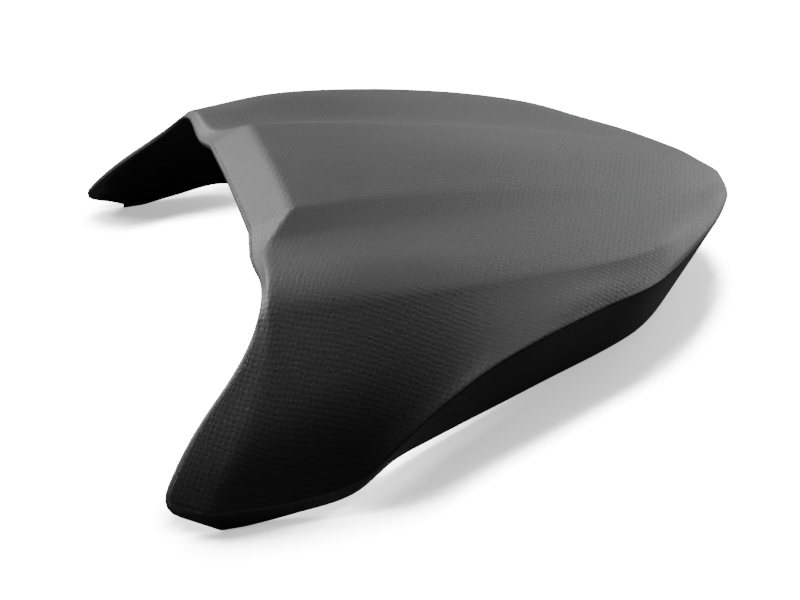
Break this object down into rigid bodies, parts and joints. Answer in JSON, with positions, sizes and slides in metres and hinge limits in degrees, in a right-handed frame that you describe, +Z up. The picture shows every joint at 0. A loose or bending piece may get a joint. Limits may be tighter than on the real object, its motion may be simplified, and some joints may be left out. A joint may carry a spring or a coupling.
{
  "type": "seat cowl",
  "caption": "Thin moulded motorcycle pillion seat cowl with a raised centre deck, sloping shoulders, two forward legs, a rounded tail and an undercut skirt, open below and in front.",
  "frame": {"origin": "centre of the bounding box, at the height of the ground that the feet and the tail's lower edge stand on", "axes": "+X to the side across the seat, -Y to the front where the legs point, +Y to the tail, +Z up"},
  "size_m": [0.3222, 0.3389, 0.0941],
  "materials": {
    "shell": "matt charcoal, woven-look grain on the top skin, smooth on the skirt"
  },
  "bodies": {
    "root": {"cowl_shell": "shell"}
  },
  "joints": []
}
